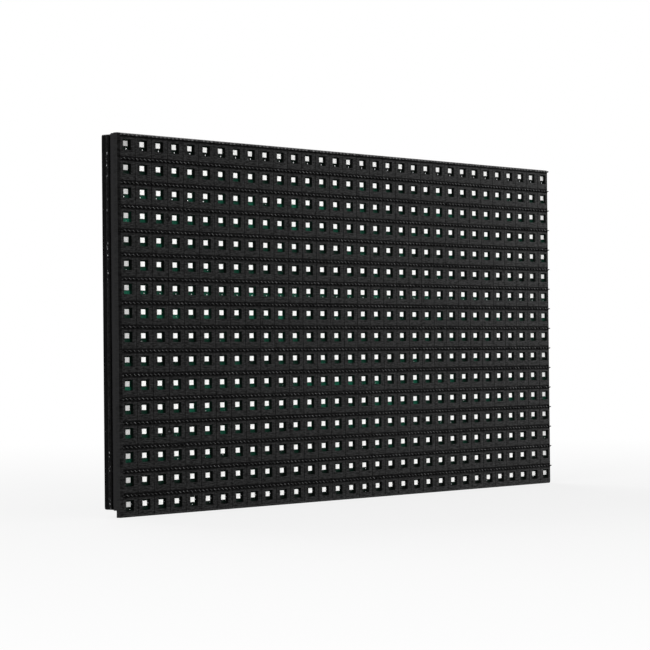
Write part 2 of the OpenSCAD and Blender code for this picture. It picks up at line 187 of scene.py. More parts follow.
class Nodes(Tree):
    """Short calls for building one material's node tree."""

    def __init__(self, name):
        self.material = bpy.data.materials.new(name)
        self.material.use_nodes = True
        super().__init__(self.material.node_tree)
        self.shader = self.tree.nodes["Principled BSDF"]
        self.coords = self.add("ShaderNodeTexCoord").outputs["Object"]
        self.x, self.y, self.z = self.add("ShaderNodeSeparateXYZ", {"Vector": self.coords}).outputs

    def set(self, **inputs):
        for key, value in inputs.items():
            self.put(self.shader.inputs[key.replace("_", " ")], value)

    def product(self, first, *others):
        for other in others:
            first = self.math("MULTIPLY", first, other)
        return first

    def minus(self, value, other):
        return self.math("SUBTRACT", value, other)

    def size(self, value):
        return self.math("ABSOLUTE", value)

    def above(self, value, limit):
        return self.math("GREATER_THAN", value, limit)

    def below(self, value, limit):
        return self.math("LESS_THAN", value, limit)

    def between(self, value, limits):
        return self.product(self.above(value, limits[0]), self.below(value, limits[1]))

    def fade(self, factor, to):
        """1 where the factor is 0, and another value where it is 1."""
        return self.remap(factor, (0, 1), (1, to))

    def mix(self, factor, first, second):
        node = self.add("ShaderNodeMix", data_type="RGBA")
        self.put(node.inputs["Factor"], factor)
        self.put(node.inputs[MIX_FIRST], first)
        self.put(node.inputs[MIX_SECOND], second)
        return node.outputs[MIX_RESULT]

    def stretched(self, sizes):
        """Object coordinates divided by a length along each axis."""
        scale = tuple(1 / size for size in sizes)
        node = self.add("ShaderNodeVectorMath", {0: self.coords, 1: scale}, operation="MULTIPLY")
        return node.outputs["Vector"]

    def noise(self, size, detail=3, roughness=0.5, coords=None):
        node = self.add("ShaderNodeTexNoise", {
            "Vector": coords or self.coords, "Scale": 1 / size, "Detail": detail, "Roughness": roughness,
        })
        return node.outputs["Fac"]

    def per_cell(self):
        """A random value from 0 to 1 for each pixel's cell of the face."""
        cells = self.stretched((PITCH, 1.0, PITCH))
        corner = self.add("ShaderNodeVectorMath", {0: cells}, operation="FLOOR").outputs["Vector"]
        return self.add("ShaderNodeTexWhiteNoise", {"Vector": corner}).outputs["Value"]

    def cycle(self, place, period):
        """How much of a period has passed at a place, from 0 to 1."""
        return self.math("FRACT", self.math("DIVIDE", place, period))

    def off_centre(self, place):
        """Distance from the middle of the pixel's cell, for a place along X or Z."""
        return self.product(self.size(self.minus(self.cycle(place, PITCH), 0.5)), PITCH)

    def normal_axis(self, name):
        geometry = self.add("ShaderNodeNewGeometry")
        return self.add("ShaderNodeSeparateXYZ", {"Vector": geometry.outputs["True Normal"]}).outputs[name]

    def bump(self, height, distance=1.0):
        """Relief from a height, which is in metres unless a distance scales it."""
        node = self.add("ShaderNodeBump", {"Height": height, "Distance": distance, "Strength": 1.0})
        self.put(self.shader.inputs["Normal"], node.outputs["Normal"])

    def surface(self, grain, roughness, relief):
        """Roughness and relief from one grain."""
        self.set(Roughness=self.remap(grain, NOISE, roughness))
        self.bump(grain, relief)


# Range in which a noise lies for the most part
NOISE = (0.3, 0.7)
# Blue in a black or grey, as a share of its red and green
GREY_BLUE = 1.03
CLOUD_SIZE = 14 * MM
MOULDED_SHADES = (0.85, 1.15)
MOULDED_UNEVEN = 0.06
METAL_SHADES = (0.88, 1.08)
METAL_UNEVEN = 0.07
METAL_GRAIN = 0.3 * MM
FINE_RELIEF = 0.01 * MM


def grey(value):
    return (value, value, value * GREY_BLUE, 1)


def shade(colour, share):
    """A colour made darker or lighter."""
    return tuple(min(1, v * share) for v in colour[:3]) + (1,)


def moulded(name, tone, roughness, specular, grain=0.5 * MM, relief=0.02 * MM):
    """Moulded plastic with a spark-eroded grain and slight unevenness of tone."""
    n = Nodes(name)
    cloud = n.noise(CLOUD_SIZE, detail=2)
    dark, pale = (shade(tone, share) for share in MOULDED_SHADES)
    n.set(Base_Color=n.mix(cloud, dark, pale), Specular_IOR_Level=specular)
    fine = n.noise(grain, detail=4, roughness=0.6)
    n.surface(fine, (roughness - MOULDED_UNEVEN, roughness + MOULDED_UNEVEN), relief)
    return n.material


def metal(name, colour, roughness):
    """Metal with a fine grain."""
    n = Nodes(name)
    fine = n.noise(METAL_GRAIN, detail=4)
    dark, pale = (shade(colour, share) for share in METAL_SHADES)
    n.set(Base_Color=n.mix(fine, dark, pale), Metallic=1.0)
    n.surface(fine, (roughness - METAL_UNEVEN, roughness + METAL_UNEVEN), FINE_RELIEF)
    return n.material


# Copper under the solder mask: a band every four rows, least along the top, bottom and right edges
COPPER_PERIOD = 4 * PITCH
COPPER_PEAK_Z = 48 * MM
COPPER_MID_Z = 3 * MM
COPPER_FADE_Z = (60 * MM, 70 * MM)
COPPER_FADE_X = (10 * MM, 155 * MM)
# Shares of green that are left between the bands, along the top and bottom, and at the right
COPPER_BETWEEN = 0.3
COPPER_LAST_ROWS = 0.05
COPPER_RIGHT = 0.3
# The least share of green in a cell, and what chance adds to it
CELL_LEAST = 0.15
CELL_CHANCE = 0.9


def copper_cover(n):
    """How green the board's front shows: by band, by place and by cell."""
    from_peak = n.minus(n.z, COPPER_PEAK_Z)
    wave = n.math("COSINE", n.product(from_peak, 2 * math.pi / COPPER_PERIOD))
    band = n.remap(wave, (-1, 1), (COPPER_BETWEEN, 1))
    from_middle = n.size(n.minus(n.z, COPPER_MID_Z))
    upright = n.remap(from_middle, COPPER_FADE_Z, (1, COPPER_LAST_ROWS))
    across = n.remap(n.x, COPPER_FADE_X, (1, COPPER_RIGHT))
    chance = n.math("POWER", n.per_cell(), 2.0)
    cell = n.math("MULTIPLY_ADD", chance, CELL_CHANCE, CELL_LEAST)
    return n.product(band, cell, upright, across)


# Heights from a lamp's centre, in pixels, between which its shadow keeps the green dark, and how much
BESIDE_BAND = (-0.13, 0.09)
BESIDE_SHARE = 0.35


def above_lamp(n):
    """Height above the centre of the lamp below, in pixels from 0 to 1."""
    return n.cycle(n.minus(n.z, LAMP_RISE + PITCH / 2), PITCH)


def lamp_shade(n):
    """The share of green left beside a lamp, 1 elsewhere."""
    pixel = above_lamp(n)
    lower = n.above(pixel, 1 + BESIDE_BAND[0])
    upper = n.below(pixel, BESIDE_BAND[1])
    return n.fade(n.math("MAXIMUM", lower, upper), BESIDE_SHARE)


# The mask's tones
FACE_DARK = grey(0.0006)
FACE_PALE = grey(0.011)
# Painted light: the skirt behind the bevel is made lighter, standing in for the light falling on that side
LIT_SKIRT_TONE = 0.013
# Painted glints on the crests of the louvre bars
GLINT_TONE = grey(0.09)
# Painted shade on the channels' floors and walls
CHANNEL_SHADE_TONE = grey(0.0036)
# Painted light on the windows' walls, paler towards the right of the face
WALL_LIT_TONES = ((0.0024, 0.0029, 0.0026, 1), (0.0085, 0.0095, 0.009, 1))
WALL_BOUNCE_GREEN = (0.005, 0.045, 0.027, 1)
# Painted green light bounced from the board onto a window's wall, as shares at the face and at the board
WALL_BOUNCE_COVER = (0.15, 1)
# Gloss of the dark and the pale streaks, and what it is multiplied by elsewhere
FACE_GLOSS = (0.024, 0.115)
# Gloss is cut on the bevel as part of its painted shade
BEVEL_GLOSS = 0.3
# Gloss is cut in sunk places as painted shade
SUNK_SHADE_GLOSS = 0.45
CREST_GLOSS = 9
MASK_ROUGHNESS = (0.38, 0.5)
# Its grain, streaks and ribs
MASK_GRAIN = 0.6 * MM
GRAIN_RELIEF = 0.015 * MM
GRAIN_SPAN = (0.35, 0.65)
GRAIN_IN_STREAKS = (0.4, 1.2)
STREAK_SIZE = (2.4 * MM, 2.4 * MM, 0.45 * MM)
STREAK_SPAN = (0.38, 0.62)
RIB_PITCH = 0.65 * MM
RIB_RELIEF = 0.05 * MM
# Its places: what is sunk, what stands proud, and which way walls and the front look
SUNK_Y = (FACE_Y + 0.27 * MM, FACE_Y + 0.45 * MM)
PROUD_Y = (FACE_Y - 0.45 * MM, FACE_Y - 0.6 * MM)
JUST_BEFORE_FACE_Y = FACE_Y - 0.05 * MM
WALL_NORMAL = 0.4
FRONT_NORMAL = 0.9
WINDOW_MARGIN = 0.05 * MM
# The part of each wave where a crest gets a painted glint, and how unevenly: size of the patches, least share
GLINT_PHASE = (0.0, 0.16)
GLINT_PATCH = 4 * MM
GLINT_SPAN = (0.36, 0.64)
GLINT_LEAST = 0.1
# Painted shade on the bevel down the left edge, less towards the bottom
BEVEL_SLOPE = 0.25
BEVEL_X = -mask_high.x + EDGE_CHAMFER * 1.1
BEVEL_FADE_Z = (-34 * MM, -46 * MM)
BEVEL_SHADE_SHARE = 0.6


def bevel_shade(n):
    """How much painted shade the bevel down the left edge has, fading out near the bottom. 0 elsewhere."""
    slope = n.product(n.normal_axis("X"), n.normal_axis("Y"))
    bevel = n.product(n.above(slope, BEVEL_SLOPE), n.below(n.x, BEVEL_X))
    return n.product(bevel, n.remap(n.z, BEVEL_FADE_Z, (BEVEL_SHADE_SHARE, 0)))


def inside_edges(n):
    """1 inside the chamfered border of the front face, 0 on the outer sides."""
    return n.product(n.below(n.size(n.x), FACE_HALF_W), n.below(n.size(n.z), FACE_HALF_H))


def outer_sides(n):
    """1 on the skirt behind the bevel, which is given painted light."""
    outside = n.minus(1.0, inside_edges(n))
    return n.product(n.above(n.y, FACE_Y + EDGE_CHAMFER), outside)


def sunk_places(n):
    """1 on the channels' floors and the walls of channels and windows, where shade is painted; 0 on the face
    and outer sides.
    """
    wall = n.below(n.size(n.normal_axis("Y")), WALL_NORMAL)
    wall = n.product(wall, n.above(n.y, JUST_BEFORE_FACE_Y))
    return n.product(n.math("MAXIMUM", n.remap(n.y, SUNK_Y), wall), inside_edges(n))


def in_window(n):
    """1 in the windows, 0 in the channels."""
    across = n.below(n.off_centre(n.x), WINDOW_W / 2 + WINDOW_MARGIN)
    return n.product(across, n.below(n.off_centre(n.z), WINDOW_H / 2 + WINDOW_MARGIN))


def window_walls(n):
    """Colour of the windows' walls: painted light that is paler to the right, and painted green light bounced
    from the board.
    """
    depth = n.remap(n.y, (FACE_Y, board_low.y), WALL_BOUNCE_COVER)
    cover = n.product(copper_cover(n), depth, lamp_shade(n))
    to_right = n.remap(n.x, (mask_low.x, mask_high.x))
    return n.mix(cover, n.mix(to_right, *WALL_LIT_TONES), WALL_BOUNCE_GREEN)


def crest_glints(n):
    """How strongly what stands proud of the face carries painted glints, in patches."""
    glints = n.remap(n.noise(GLINT_PATCH, detail=2), GLINT_SPAN, (GLINT_LEAST, 1))
    return n.product(n.remap(n.y, PROUD_Y), glints)


def tooth_glints(n):
    """1 at the upper end of each tooth of a louvre bar, where its crest gets a painted glint."""
    return n.between(n.cycle(n.minus(n.x, WAVE_CREST), WAVE), GLINT_PHASE)


def face_streaks(n, grain):
    """Fine level streaks of the face, broken by the grain."""
    streak = n.noise(1.0, roughness=0.6, coords=n.stretched(STREAK_SIZE))
    return n.product(n.remap(streak, STREAK_SPAN), n.remap(grain, GRAIN_SPAN, GRAIN_IN_STREAKS))


def face_relief(n, grain):
    """Height of the level ribs on what looks forward, and of the grain."""
    rib = n.math("SINE", n.product(n.z, 2 * math.pi / RIB_PITCH))
    front = n.below(n.normal_axis("Y"), -FRONT_NORMAL)
    return n.math("ADD", n.product(rib, front, RIB_RELIEF / 2), n.product(grain, GRAIN_RELIEF))


def mask_material():
    """Matt black moulding whose front face carries fine level ribs."""
    n = Nodes("mask_plastic")
    grain = n.noise(MASK_GRAIN, detail=4, roughness=0.6)
    streaks = face_streaks(n, grain)
    sunk = sunk_places(n)
    proud = crest_glints(n)
    bevel = bevel_shade(n)
    # Painted light on the skirt behind the bevel
    colour = n.mix(outer_sides(n), n.mix(streaks, FACE_DARK, FACE_PALE), grey(LIT_SKIRT_TONE))
    # Painted glints at the upper ends of the teeth
    colour = n.mix(n.product(proud, tooth_glints(n)), colour, GLINT_TONE)
    # Painted shade on the bevel down the left edge
    colour = n.mix(bevel, colour, FACE_DARK)
    # Sunk places take painted shade in the channels, and painted light on the windows' walls
    n.set(Base_Color=n.mix(sunk, colour, n.mix(in_window(n), CHANNEL_SHADE_TONE, window_walls(n))))
    gloss = n.product(n.remap(streaks, (0, 1), FACE_GLOSS), n.fade(bevel, BEVEL_GLOSS))
    gloss = n.product(gloss, n.fade(sunk, SUNK_SHADE_GLOSS), n.fade(proud, CREST_GLOSS))
    n.set(Specular_IOR_Level=gloss, Roughness=n.remap(grain, NOISE, MASK_ROUGHNESS))
    n.bump(face_relief(n, grain))
    return n.material


# The board's front: tracks under the solder mask in patches, and their tone against the board's
TRACK_PITCH = 1.25 * MM
TRACK_EDGE = 0.1
TRACK_PATCH = 9 * MM
TRACK_PATCH_EDGE = 0.5
TRACK_TONES = (0.85, 1.35)
TRACK_RELIEF = 0.03 * MM
WEAVE_SIZE = 0.6 * MM
WEAVE_TONES = (0.8, 1.2)
FRONT_GREENS = ((0.002, 0.004, 0.003, 1), (0.012, 0.13, 0.075, 1))
FRONT_END_Y = board_low.y + 0.1 * MM
# Band between rows, in pixels above a lamp's centre, where the mask's ribs cast a painted shadow on the board
RIB_SHADOW_BAND = (0.09, 0.3)
RIB_SHADOW_GREEN = (0.002, 0.006, 0.004, 1)
# The board's rear
REAR_CLOUD = 25 * MM
REAR_GREENS = ((0.004, 0.048, 0.024, 1), (0.006, 0.068, 0.034, 1))
BOARD_ROUGHNESS = (0.35, 0.5)


def front_tracks(n):
    """1 on the upright tracks of the board's front."""
    wave = n.math("SINE", n.product(n.x, 2 * math.pi / TRACK_PITCH))
    patch = n.above(n.noise(TRACK_PATCH, detail=1), TRACK_PATCH_EDGE)
    return n.product(n.above(wave, TRACK_EDGE), patch)


def board_material():
    """Green solder mask over copper tracks that lie a little proud."""
    n = Nodes("solder_mask")
    tracks = front_tracks(n)
    weave = n.noise(WEAVE_SIZE)
    front = n.below(n.y, FRONT_END_Y)
    tone = n.product(n.remap(weave, NOISE, WEAVE_TONES), n.remap(tracks, (0, 1), TRACK_TONES))
    front_green = n.mix(n.product(copper_cover(n), tone, lamp_shade(n)), *FRONT_GREENS)
    rear_green = n.mix(n.noise(REAR_CLOUD, detail=2), *REAR_GREENS)
    # Painted shadow of the mask's ribs on the board's front
    rib_shadow = n.product(n.between(above_lamp(n), RIB_SHADOW_BAND), front)
    n.set(Base_Color=n.mix(rib_shadow, n.mix(front, rear_green, front_green), RIB_SHADOW_GREEN))
    n.set(Roughness=n.remap(weave, NOISE, BOARD_ROUGHNESS), Specular_IOR_Level=0.04)
    n.bump(n.math("ADD", n.product(tracks, front, TRACK_RELIEF), n.product(weave, FINE_RELIEF)))
    return n.material


COPPER_WEAVE = 0.5 * MM
COPPER_GREENS = ((0.008, 0.115, 0.055, 1), (0.012, 0.150, 0.075, 1))
COPPER_ROUGHNESS = (0.28, 0.4)
COPPER_RELIEF = 0.008 * MM


def copper_material():
    """Copper under the solder mask, lighter than the bare board."""
    n = Nodes("masked_copper")
    weave = n.noise(COPPER_WEAVE)
    n.set(Base_Color=n.mix(weave, *COPPER_GREENS), Specular_IOR_Level=0.4)
    n.surface(weave, COPPER_ROUGHNESS, COPPER_RELIEF)
    return n.material


INK_GRAIN = 0.5 * MM
INK_SPAN = (0.3, 0.6)
INK_WHITES = ((0.42, 0.50, 0.44, 1), (0.78, 0.79, 0.76, 1))
INK_ROUGHNESS = (0.5, 0.65)
INK_RELIEF = 0.005 * MM


def ink_material():
    """White outlines printed on the board, a little thin in places."""
    n = Nodes("board_ink")
    wear_and_highlight = n.noise(INK_GRAIN, detail=4, roughness=0.6)
    n.set(Base_Color=n.mix(n.remap(wear_and_highlight, INK_SPAN), *INK_WHITES), Specular_IOR_Level=0.3)
    n.surface(wear_and_highlight, INK_ROUGHNESS, INK_RELIEF)
    return n.material


# How white the lamps are at the bottom and the top of the face, whiter at the bottom as painted light that
# evens out the lighting, and how far one differs from the next
LAMP_LIT_WHITE = (0.975, 0.9)
LAMP_SPREAD = 0.02
LAMP_TONE = (1.0, 1.0, 0.985, 1)
BLACK = (0.0, 0.0, 0.0, 1)
# Where the lamps of the border turn greyer, and by how much
GREY_LEFT = (-147 * MM, -153 * MM)
GREY_RIGHT = (138 * MM, 153 * MM)
GREY_TOP = (66 * MM, 73 * MM)
LEFT_GREY = 0.42
RIGHT_GREY = 0.3
TOP_GREY = 0.14
LAMP_GRAIN = 0.4 * MM
LAMP_ROUGHNESS = (0.3, 0.42)


def lamp_border(n):
    """How grey the lamps are along the border."""
    left = n.remap(n.x, GREY_LEFT, (0, LEFT_GREY))
    right = n.remap(n.x, GREY_RIGHT, (0, RIGHT_GREY))
    top = n.remap(n.z, GREY_TOP, (0, TOP_GREY))
    return n.math("ADD", n.math("ADD", left, right), top)


def lamp_material():
    """White moulded lamp bodies, each a shade different from the next, greyer along the border, and whiter
    towards the bottom as painted light.
    """
    n = Nodes("lamp_body")
    # Painted light: lamps lower on the face are made whiter
    tone = n.remap(n.z, (mask_low.z, mask_high.z), LAMP_LIT_WHITE)
    tone = n.minus(tone, n.product(n.per_cell(), LAMP_SPREAD))
    white = n.mix(tone, BLACK, LAMP_TONE)
    n.set(Base_Color=n.mix(lamp_border(n), white, BLACK), Specular_IOR_Level=0.5)
    n.surface(n.noise(LAMP_GRAIN), LAMP_ROUGHNESS, FINE_RELIEF)
    return n.material


# The frame's outer sides: their beads, the flange beside the mask, and the painted highlight and sparkles on
# the beads
BEAD_Y = (-3.5 * MM, -2.7 * MM)
BEAD_X = mask_high.x - 2.7 * MM
FLANGE_X = mask_high.x - 1 * MM
# Painted light: the flange beside the mask is lighter still
LIT_FLANGE_TONE = grey(LIT_SKIRT_TONE * 1.5)
MOTTLE_SIZE = 0.9 * MM
MOTTLE_SPAN = (0.36, 0.66)
FRAME_TONES = (grey(0.0004), grey(0.0046))
BEAD_HIGHLIGHT_TONES = (grey(0.002), grey(0.026))
SPARKLE_PATCH = 11 * MM
SPARKLE_PATCH_SPAN = (0.5, 0.62)
SPARKLE_SIZE = (0.6 * MM, 0.6 * MM, 1.1 * MM)
SPARKLE_SPAN = (0.6, 0.68)
SPARKLE_TONE = grey(0.5)
# The frame's inner and rear faces, and its surface
REAR_NORMAL = 0.5
INNER_TONES = (grey(0.010), grey(0.017))
FRAME_GLOSS = (0.025, 0.22)
FRAME_POLISH = (0.18, 0.26)
INNER_DULL = 0.2
FRAME_GRAIN = 1.5 * MM


def frame_outside(n, outside, cloud):
    """Colour of the frame's outer sides: dark and mottled, with a painted highlight and painted sparkles
    along the beads.
    """
    bead = n.product(n.between(n.y, BEAD_Y), outside)
    mottle = n.remap(n.noise(MOTTLE_SIZE, detail=4, roughness=0.7), MOTTLE_SPAN)
    plain = n.mix(mottle, *FRAME_TONES)
    # Painted highlight along the beads
    wear_and_highlight = n.mix(n.product(bead, cloud), plain, n.mix(mottle, *BEAD_HIGHLIGHT_TONES))
    patches = n.remap(n.noise(SPARKLE_PATCH, detail=2), SPARKLE_PATCH_SPAN)
    sparkle = n.noise(1.0, detail=2, coords=n.stretched(SPARKLE_SIZE))
    # Painted sparkles on the beads
    sparkled = n.mix(n.product(bead, patches, n.remap(sparkle, SPARKLE_SPAN)), wear_and_highlight, SPARKLE_TONE)
    return n.mix(n.above(n.size(n.x), FLANGE_X), sparkled, LIT_FLANGE_TONE)


def frame_material():
    """Glossy black moulding, with a painted highlight and sparkles along the beads on its sides."""
    n = Nodes("frame_plastic")
    cloud = n.noise(CLOUD_SIZE, detail=2)
    outside = n.above(n.size(n.x), BEAD_X)
    rearward = n.above(n.normal_axis("Y"), REAR_NORMAL)
    inner = n.math("MAXIMUM", rearward, n.minus(1.0, outside))
    n.set(Base_Color=n.mix(inner, frame_outside(n, outside, cloud), n.mix(cloud, *INNER_TONES)))
    n.set(Specular_IOR_Level=n.remap(inner, (0, 1), FRAME_GLOSS))
    n.set(Roughness=n.math("MULTIPLY_ADD", inner, INNER_DULL, n.remap(cloud, NOISE, FRAME_POLISH)))
    n.bump(n.noise(FRAME_GRAIN, detail=4, roughness=0.6), FINE_RELIEF)
    return n.material


SCREW_RECESS_Y = FACE_Y + 0.3 * MM
# The screw at the lower left, below the middle and left of this, has the brightest painted highlight in its
# recess
HIGHLIGHT_LEFT_OF_X = -100 * MM
SCREW_TONES = (grey(0.0008), grey(0.0016))
# Painted highlight in the screws' recesses
RECESS_HIGHLIGHT_TONES = (grey(0.028), grey(0.1))
SCREW_GRAIN = 0.3 * MM
SCREW_ROUGHNESS = (0.3, 0.42)


def screw_material():
    """Blackened heads, with a painted highlight in the recess, brightest in one of them."""
    n = Nodes("black_screw")
    brightest_highlight = n.product(n.below(n.z, 0.0), n.below(n.x, HIGHLIGHT_LEFT_OF_X))
    fine = n.noise(SCREW_GRAIN)
    head = n.mix(fine, *SCREW_TONES)
    recess_highlight = n.mix(brightest_highlight, *RECESS_HIGHLIGHT_TONES)
    n.set(Base_Color=n.mix(n.above(n.y, SCREW_RECESS_Y), head, recess_highlight), Specular_IOR_Level=0.03)
    n.surface(fine, SCREW_ROUGHNESS, FINE_RELIEF)
    return n.material


# Metals: colour and roughness
METALS = {
    "insert_brass": ((0.66, 0.46, 0.16), 0.3),
    "gold_pin": ((0.72, 0.52, 0.17), 0.25),
    "tin": ((0.74, 0.75, 0.76), 0.28),
    "dull_solder": ((0.2, 0.21, 0.21), 0.5),
    "capacitor_can": ((0.72, 0.73, 0.75), 0.32),
}
# Plastics and the like: colour, roughness, gloss and, where it isn't the usual, grain and relief
PLASTICS = {
    "header_plastic": (grey(0.014), 0.45, 0.4),
    "white_nylon": ((0.78, 0.76, 0.68), 0.42, 0.5),
    "chip_resin": (grey(0.018), 0.6, 0.4, 0.25 * MM, 0.03 * MM),
    "capacitor_base": (grey(0.015), 0.5, 0.4),
    "capacitor_ceramic": ((0.42, 0.30, 0.17), 0.5, 0.4),
    "resistor_glaze": (grey(0.02), 0.35, 0.5),
}
MATERIALS = {
    "mask_plastic": mask_material(),
    "frame_plastic": frame_material(),
    "solder_mask": board_material(),
    "masked_copper": copper_material(),
    "board_ink": ink_material(),
    "black_screw": screw_material(),
    "lamp_body": lamp_material(),
}
MATERIALS.update({name: metal(name, *look) for name, look in METALS.items()})
MATERIALS.update({name: moulded(name, *look) for name, look in PLASTICS.items()})


def dress_cad_nodes():
    for part in frame["record"]["subparts"]:
        mesh = frame["nodes"][part["node"]].data
        mesh.materials.clear()
        mesh.materials.append(MATERIALS[part["material_slot"]])


dress_cad_nodes()


# Shared shapes

# Decimals of a metre to which places that are the same agree
DECIMALS = 6
BOX_FACES = [(0, 1, 3, 2), (4, 6, 7, 5), (0, 4, 5, 1), (2, 3, 7, 6), (0, 2, 6, 4), (1, 5, 7, 3)]


def add_piece(name, verts, faces, slot, look=None):
    """A piece on the only body, in the material of its slot or with a look of its own."""
    mesh = bpy.data.meshes.new(name)
    mesh.from_pydata(verts, [], faces)
    mesh.validate()
    mesh.update()
    mesh.materials.append(MATERIALS[look or slot])
    piece = bpy.data.objects.new(name, mesh)
    bpy.context.scene.collection.objects.link(piece)
    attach(piece, "root")
    return piece


def add_boxes(name, boxes, slot, look=None):
    verts = []
    faces = []
    for low, high in boxes:
        first = len(verts)
        verts += [(x, y, z) for x in (low[0], high[0]) for y in (low[1], high[1]) for z in (low[2], high[2])]
        faces += [tuple(first + k for k in face) for face in BOX_FACES]
    return add_piece(name, verts, faces, slot, look)


def sweep(verts, faces, first, corners=4):
    """Close the skin of a bar whose sections, of so many corners, are the vertices from first on."""
    last = len(verts) - corners
    for a in range(first, last, corners):
        b = a + corners
        for k in range(corners):
            m = (k + 1) % corners
            faces.append((a + k, b + k, b + m, a + m))
    faces.append(tuple(range(first, first + corners)))
    faces.append(tuple(reversed(range(last, last + corners))))


def ring(x, y, z, radius, sides, stretch=1.0):
    """Points of a circle round an axis along Y, drawn out upward by a stretch."""
    turns = [2 * math.pi * k / sides for k in range(sides)]
    return [(x + radius * math.cos(t), y, z + radius * stretch * math.sin(t)) for t in turns]


def lathe(verts, faces, x, z, profile, sides):
    """A turned form on an axis along Y: the profile gives radius and y from its foot to its top."""
    first = len(verts)
    for radius, y in profile:
        verts += ring(x, y, z, radius, sides)
    sweep(verts, faces, first, corners=sides)


def islands(node):
    """Low and high corners of each separate solid of a node."""
    mesh = frame["nodes"][node].data
    corners = [tuple(round(v, DECIMALS) for v in vertex.co) for vertex in mesh.vertices]
    leader = {c: c for c in corners}

    def find(c):
        while leader[c] != c:
            leader[c] = leader[leader[c]]
            c = leader[c]
        return c

    for edge in mesh.edges:
        leader[find(corners[edge.vertices[0]])] = find(corners[edge.vertices[1]])
    groups = {}
    for c in leader:
        groups.setdefault(find(c), []).append(c)
    return [(Vector(map(min, zip(*g))), Vector(map(max, zip(*g)))) for g in groups.values()]


def middle(box):
    return (box[0] + box[1]) / 2


# The mask with its wavy louvre bars

# Slack for corners that lie on a bar, and for stretches that count as straight
ON_BAR = 0.01 * MM
STRAIGHT = 0.0001 * MM


def louvre_stations(low_proud, swing):
    """Along one louvre bar: x, rise of the centre line and height above the face.

    Each wave falls steeply and stands proud there, then climbs back lower down.
    A bar stands proud at its ends too, where it runs out over the bevel.
    """
    step = WAVE / WAVE_STEPS
    first = math.ceil((-BAR_REACH - WAVE_CREST) / step)
    last = math.floor((BAR_REACH - WAVE_CREST) / step)
    stations = []
    for i in range(first, last + 1):
        turn = i % WAVE_STEPS
        falling = turn <= WAVE_FALL_STEPS
        if falling:
            share = 1 - turn / WAVE_FALL_STEPS
        else:
            share = (turn - WAVE_FALL_STEPS) / (WAVE_STEPS - WAVE_FALL_STEPS)
        rise = swing * (2 * share - 1)
        x = WAVE_CREST + i * step
        proud = falling or abs(x) > FACE_HALF_W
        stations.append((x, rise, LOUVRE_PROUD if proud else low_proud))
    return bends_only(stations)


def bends_only(stations):
    """The stations where the line bends or its height steps, and both ends."""
    kept = [stations[0]]
    for before, at, after in zip(stations, stations[1:], stations[2:]):
        bends = abs(before[1] + after[1] - 2 * at[1]) > STRAIGHT
        steps = before[2] != at[2] or at[2] != after[2]
        if bends or steps:
            kept.append(at)
    return kept + [stations[-1]]


def louvre_bar(verts, faces, z0, base, crest, low_proud, swing):
    """A wavy bar across the face: a section swept along the stations."""
    first = len(verts)
    for x, rise, proud in louvre_stations(low_proud, swing):
        mid = z0 + rise
        front = FACE_Y - proud
        verts += [
            (x, CHANNEL_Y, mid - base / 2), (x, front, mid - crest / 2),
            (x, front, mid + crest / 2), (x, CHANNEL_Y, mid + base / 2),
        ]
    sweep(verts, faces, first)


def bar_seat(z0):
    """Corners of the place where a straight bar stood, as y and z: two on the floor, two on the face.

    At the top the floor runs out in the bevel, and the corners lie on that.
    """
    low = z0 - LOUVRE_T / 2
    high = z0 + LOUVRE_T / 2
    past_floor = max(0.0, high - FACE_HALF_H - CHANNEL_DEPTH)
    return [(CHANNEL_Y, low), (CHANNEL_Y + past_floor, high), (FACE_Y, min(high, FACE_HALF_H)), (FACE_Y, low)]


def without_bars(bar_rows):
    """Vertices and faces of the solid's mask, less the faces of its straight bars."""
    mesh = frame["nodes"]["front_mask"].data
    points = np.array([v.co for v in mesh.vertices])
    triangles = np.array([p.vertices[:] for p in mesh.polygons])
    off = np.abs(points[:, 2][:, None] - bar_rows[None, :]).min(axis=1)
    deepest = max(y for y, z in bar_seat(bar_rows[0]))
    on_bar = (off < LOUVRE_T / 2 + ON_BAR) & (points[:, 1] < deepest + ON_BAR)
    kept = triangles[~on_bar[triangles].all(axis=1)]
    used = np.unique(kept)
    place = np.zeros(len(points), int)
    place[used] = np.arange(len(used))
    return [tuple(p) for p in points[used]], [tuple(place[t]) for t in kept]


def nearest(points, place):
    return int(((points - np.array(place)) ** 2).sum(axis=1).argmin())


def mask_moulding():
    """The solid's mask with its straight louvre bars exchanged for wavy ones."""
    bar_rows = np.array([row_z(r) + CHANNEL_RISE for r in range(ROWS)])
    verts, faces = without_bars(bar_rows)
    corners = np.array(verts)
    for row, z0 in enumerate(bar_rows):
        seat = bar_seat(z0)
        left = [nearest(corners, (-FACE_HALF_W, y, z)) for y, z in seat]
        right = [nearest(corners, (FACE_HALF_W, y, z)) for y, z in seat]
        faces += [(left[0], right[0], right[1], left[1]), tuple(left), tuple(reversed(right))]
        louvre_bar(verts, faces, z0, **(TOP_BAR if row == 0 else BAR))
    piece = add_piece("mask_moulding", verts, faces, "mask_plastic")
    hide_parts("front_mask")


mask_moulding()


# Solder seen through the windows

DOT_SIDES = 8
# Rings of a dot, as shares of its radius and height
DOT_RINGS = ((1.0, 0.0), (0.75, 0.7))
# Rows of dots: row, columns, place from a lamp's centre across and up, radius, height, stretch upward
DOT_ROWS = (
    (0, range(COLUMNS), (1.35 * MM, -2.15 * MM), 0.3 * MM, 0.14 * MM, 1.4),
    (2, range(6), (-0.4 * MM, -2.2 * MM), 0.34 * MM, 0.22 * MM, 1.0),
    (6, range(1, COLUMNS), (1.5 * MM, -2.3 * MM), 0.32 * MM, 0.2 * MM, 1.0),
    (ROWS - 1, range(COLUMNS), (2.5 * MM, 0.0), 0.24 * MM, 0.45 * MM, 1.0),
)
